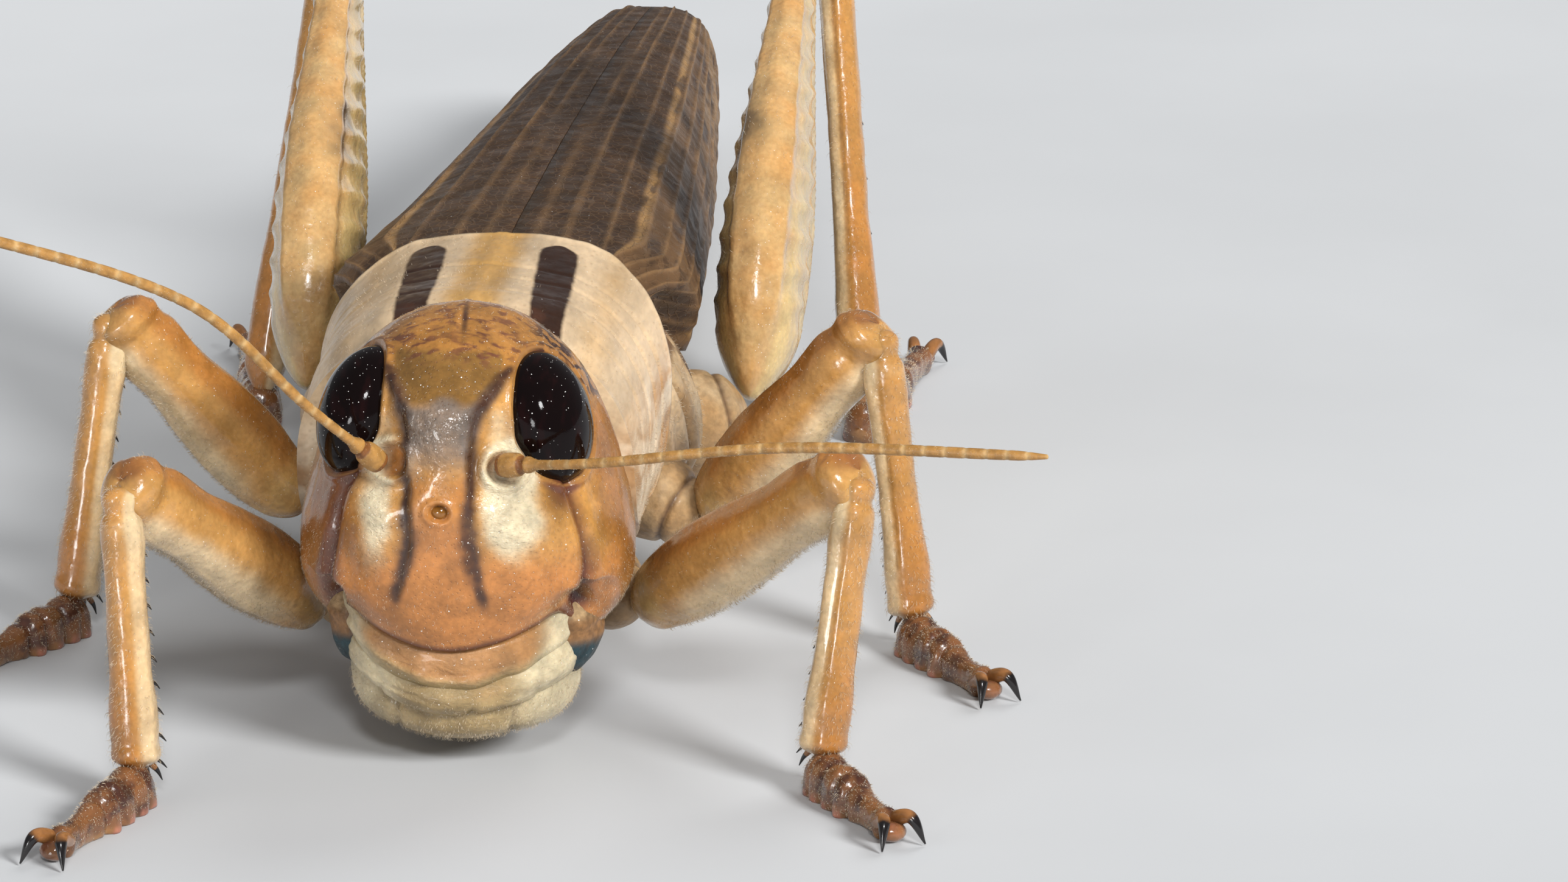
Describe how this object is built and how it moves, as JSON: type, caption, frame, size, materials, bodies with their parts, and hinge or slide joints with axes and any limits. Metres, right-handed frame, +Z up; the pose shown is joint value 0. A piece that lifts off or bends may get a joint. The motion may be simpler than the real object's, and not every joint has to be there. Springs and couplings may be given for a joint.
{
  "type": "locust",
  "caption": "Still life-size model of an adult migratory locust standing on six feet with folded wings.",
  "frame": {"origin": "on the floor under the middle of the bounding box", "axes": "+Z up, the locust faces -Y, its left side is +X"},
  "size_m": [0.0288, 0.0672, 0.0182],
  "materials": {
    "face": "satin, finely pitted",
    "eye": "polished",
    "mouth": "satin",
    "jaw": "satin",
    "antenna": "satin",
    "pronotum": "satin",
    "body": "satin",
    "tegmen": "satin, veined",
    "hindwing": "satin, veined",
    "leg": "satin",
    "foot": "satin, hairy"
  },
  "bodies": {
    "root": {"head": "face", "eye_left": "eye", "eye_right": "eye", "clypeus": "mouth", "labrum": "mouth", "mandible_left": "jaw", "mandible_right": "jaw", "labium": "mouth", "maxillary_palp_left": "mouth", "labial_palp_left": "mouth", "maxillary_palp_right": "mouth", "labial_palp_right": "mouth", "antenna_left": "antenna", "antenna_right": "antenna", "pronotum": "pronotum", "thorax": "body", "abdomen_ring_1": "body", "abdomen_ring_2": "body", "abdomen_ring_3": "body", "abdomen_ring_4": "body", "abdomen_ring_5": "body", "abdomen_ring_6": "body", "abdomen_ring_7": "body", "abdomen_ring_8": "body", "abdomen_tip": "body", "tegmen_left": "tegmen", "hindwing_left": "hindwing", "tegmen_right": "tegmen", "hindwing_right": "hindwing", "fore_leg_right_coxa": "body", "fore_leg_right_femur": "leg", "fore_leg_right_tibia": "leg", "fore_leg_right_tarsus": "foot", "fore_leg_left_coxa": "body", "fore_leg_left_femur": "leg", "fore_leg_left_tibia": "leg", "fore_leg_left_tarsus": "foot", "mid_leg_right_coxa": "body", "mid_leg_right_femur": "leg", "mid_leg_right_tibia": "leg", "mid_leg_right_tarsus": "foot", "hind_leg_right_coxa": "body", "hind_leg_right_femur": "leg", "hind_leg_right_tibia": "leg", "hind_leg_right_tarsus": "foot", "mid_leg_left_coxa": "body", "mid_leg_left_femur": "leg", "mid_leg_left_tibia": "leg", "mid_leg_left_tarsus": "foot", "hind_leg_left_coxa": "body", "hind_leg_left_femur": "leg", "hind_leg_left_tibia": "leg", "hind_leg_left_tarsus": "foot"}
  },
  "joints": []
}
